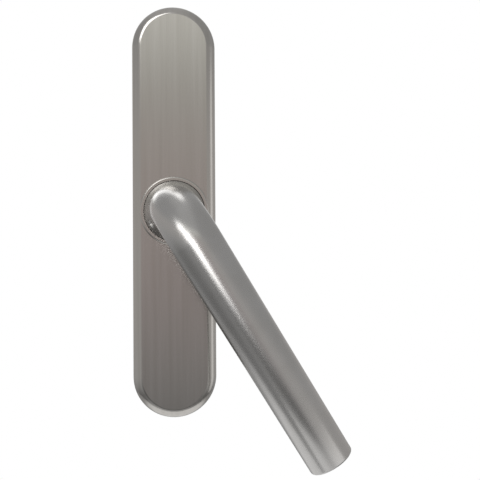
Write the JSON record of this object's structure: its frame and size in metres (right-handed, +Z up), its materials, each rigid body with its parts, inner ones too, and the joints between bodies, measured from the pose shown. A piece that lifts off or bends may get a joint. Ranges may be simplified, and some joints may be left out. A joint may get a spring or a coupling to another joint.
{
  "type": "cremone window handle",
  "caption": "Geared window handle: a long stadium plate with a collar and a bent round lever that drives two racks and their pins apart or together behind it.",
  "frame": {"origin": "on the lever's axis, in the back plane that rests on the sash", "axes": "+Y into the sash, +Z up along the plate, +X to the right as one faces the handle"},
  "size_m": [0.0948, 0.0783, 0.2138],
  "materials": {
    "cover_metal": "satin, brushed along the plate",
    "lever_metal": "satin",
    "collar_metal": "satin, turned",
    "cast_metal": "as cast",
    "plate_steel": "zinc plated",
    "gear_steel": "sintered steel",
    "spring_steel": "spring steel",
    "screw_steel": "zinc plated",
    "bush_plastic": "moulded"
  },
  "bodies": {
    "frame": {"cover_plate": "cover_metal", "collar_ring": "collar_metal", "housing": "cast_metal", "retainer_plate": "plate_steel", "retainer_screws": "screw_steel", "fixing_screws": "screw_steel", "cover_clips": "spring_steel", "neck_bush": "bush_plastic", "disc_spring": "spring_steel"},
    "lever": {"lever": "lever_metal", "spindle": "plate_steel", "grub_screw": "screw_steel", "pinion": "gear_steel"},
    "upper_slide": {"upper_rack": "gear_steel", "upper_drive_pin": "plate_steel", "upper_detent_ball": "screw_steel", "upper_detent_spring": "spring_steel"},
    "lower_slide": {"lower_rack": "gear_steel", "lower_drive_pin": "plate_steel", "lower_detent_ball": "screw_steel", "lower_detent_spring": "spring_steel"}
  },
  "joints": [
    {"name": "lever_turn", "type": "hinge", "parent": "frame", "child": "lever", "pos_m": [0, 0, 0], "axis": [0, -1, 0], "range_deg": [-31.3, 58.7]},
    {"name": "upper_rack_slide", "type": "slide", "parent": "frame", "child": "upper_slide", "axis": [0, 0, 1], "range_m": [-0.0108, 0.0058]},
    {"name": "lower_rack_slide", "type": "slide", "parent": "frame", "child": "lower_slide", "axis": [0, 0, 1], "range_m": [-0.0058, 0.0108]}
  ],
  "couplings": [
    {"joint": "upper_rack_slide", "follows": "lever_turn", "m_per_rad": -0.0105},
    {"joint": "lower_rack_slide", "follows": "lever_turn", "m_per_rad": 0.0105}
  ]
}
